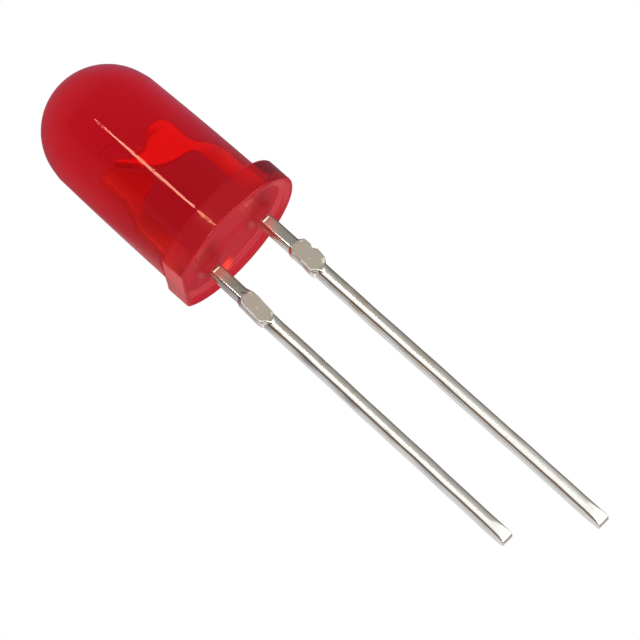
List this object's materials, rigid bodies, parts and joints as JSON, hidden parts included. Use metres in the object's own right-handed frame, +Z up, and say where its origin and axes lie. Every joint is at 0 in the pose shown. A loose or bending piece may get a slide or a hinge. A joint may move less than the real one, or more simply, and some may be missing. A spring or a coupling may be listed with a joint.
{
  "type": "through hole led",
  "caption": "Round flanged indicator LED: tinted epoxy lens cast round a stamped lead frame, with straight tinned leads of unequal length.",
  "frame": {"origin": "on the surface that the lamp lies on, under the middle of its box", "axes": "+Z up, away from the cathode flat; +X along the leads, away from the dome; the leads' plane is XZ"},
  "size_m": [0.025, 0.0058, 0.0054],
  "materials": {
    "red_epoxy": "clear red tinted epoxy, glossy outside, satin on the cured underside",
    "tinned_lead": "bright tin dip over a copper alloy, matte grey where the dam bar was sheared",
    "silver_paste": "cured silver paste",
    "chip": "sawn semiconductor",
    "gold": "bright gold"
  },
  "bodies": {
    "root": {"lens_body": "red_epoxy", "anode_lead": "tinned_lead", "cathode_lead": "tinned_lead", "die_attach": "silver_paste", "led_die": "chip", "bond_pad": "gold", "bond_wire": "gold"}
  },
  "joints": []
}
